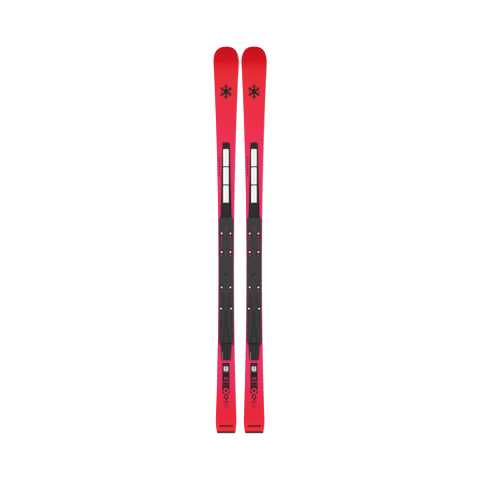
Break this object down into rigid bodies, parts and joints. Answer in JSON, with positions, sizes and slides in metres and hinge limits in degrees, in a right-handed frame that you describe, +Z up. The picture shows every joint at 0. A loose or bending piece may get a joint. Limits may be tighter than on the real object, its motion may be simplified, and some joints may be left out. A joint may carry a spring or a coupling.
{
  "type": "pair of alpine skis",
  "caption": "Pair of carving race skis with sidecut and upturned tips, each with a floating binding plate on screws and a damper housing with white shock modules.",
  "frame": {"origin": "on the snow, halfway between the two skis and at the middle of the pair's length", "axes": "+Y to the tips, +Z up from the snow, +X across the pair to the right-hand ski"},
  "size_m": [0.2294, 1.65, 0.0552],
  "materials": {
    "base_sheet": "black sintered running base with a fine ground structure",
    "edge_steel": "ground edge steel",
    "glass_laminate": "glass fibre in epoxy",
    "damping_rubber": "thin black rubber",
    "metal_sheet": "rolled alloy sheet",
    "core_wood": "laminated poplar and ash",
    "sidewall": "black phenolic, milled",
    "topsheet_print": "printed polyamide, red to magenta, with a fine grain",
    "protector": "black moulded plastic",
    "housing_plastic": "black glass-filled nylon, fine texture",
    "cover_plastic": "black nylon cover, fine texture",
    "white_elastomer": "white translucent elastomer",
    "spring_steel": "spring steel strip",
    "trim_screw_steel": "blackened steel",
    "riser_elastomer": "magenta elastomer",
    "slide_plastic": "black low-friction plastic",
    "ramp_rubber": "dark grey moulded plastic",
    "deck_plastic": "dark grey glass-filled nylon, fine texture",
    "bush_plastic": "black moulded plastic",
    "screw_steel": "bright zinc-plated steel",
    "insert_brass": "turned brass",
    "stud_steel": "turned steel",
    "stop_rubber": "black rubber",
    "cap_plastic": "dark grey moulded plastic"
  },
  "bodies": {
    "left_ski": {"left_base": "base_sheet", "left_steel_edges": "edge_steel", "left_lower_glass": "glass_laminate", "left_edge_rubber": "damping_rubber", "left_lower_metal": "metal_sheet", "left_wood_core": "core_wood", "left_sidewalls": "sidewall", "left_tip_spacer": "sidewall", "left_tail_spacer": "sidewall", "left_upper_metal": "metal_sheet", "left_topsheet": "topsheet_print", "left_tail_protector": "protector", "left_damper_housing": "housing_plastic", "left_damper_front_cap": "housing_plastic", "left_damper_rear_cover": "cover_plastic", "left_shock_module_1": "white_elastomer", "left_shock_module_2": "white_elastomer", "left_shock_module_3": "white_elastomer", "left_module_springs": "spring_steel", "left_trim_screws": "trim_screw_steel", "left_riser_pad": "riser_elastomer", "left_slide_pad": "slide_plastic", "left_tail_ramp": "ramp_rubber", "left_plate_bushes": "bush_plastic", "left_plate_screws": "screw_steel", "left_screw_inserts": "insert_brass", "left_anchor_stud": "stud_steel", "left_stop_ring": "stop_rubber"},
    "left_plate": {"left_plate_deck": "deck_plastic", "left_centre_cap": "cap_plastic"},
    "right_ski": {"right_base": "base_sheet", "right_steel_edges": "edge_steel", "right_lower_glass": "glass_laminate", "right_edge_rubber": "damping_rubber", "right_lower_metal": "metal_sheet", "right_wood_core": "core_wood", "right_sidewalls": "sidewall", "right_tip_spacer": "sidewall", "right_tail_spacer": "sidewall", "right_upper_metal": "metal_sheet", "right_topsheet": "topsheet_print", "right_tail_protector": "protector", "right_damper_housing": "housing_plastic", "right_damper_front_cap": "housing_plastic", "right_damper_rear_cover": "cover_plastic", "right_shock_module_1": "white_elastomer", "right_shock_module_2": "white_elastomer", "right_shock_module_3": "white_elastomer", "right_module_springs": "spring_steel", "right_trim_screws": "trim_screw_steel", "right_riser_pad": "riser_elastomer", "right_slide_pad": "slide_plastic", "right_tail_ramp": "ramp_rubber", "right_plate_bushes": "bush_plastic", "right_plate_screws": "screw_steel", "right_screw_inserts": "insert_brass", "right_anchor_stud": "stud_steel", "right_stop_ring": "stop_rubber"},
    "right_plate": {"right_plate_deck": "deck_plastic", "right_centre_cap": "cap_plastic"}
  },
  "joints": [
    {"name": "left_plate_float", "type": "slide", "parent": "left_ski", "child": "left_plate", "axis": [0, 1, 0], "range_m": [-0.002, 0.002], "stiffness_N_per_m": 6000},
    {"name": "right_ski_slide", "type": "slide", "parent": "left_ski", "child": "right_ski", "axis": [0, 1, 0], "range_m": [-0.4, 0.4]},
    {"name": "right_plate_float", "type": "slide", "parent": "right_ski", "child": "right_plate", "axis": [0, 1, 0], "range_m": [-0.002, 0.002], "stiffness_N_per_m": 6000}
  ]
}
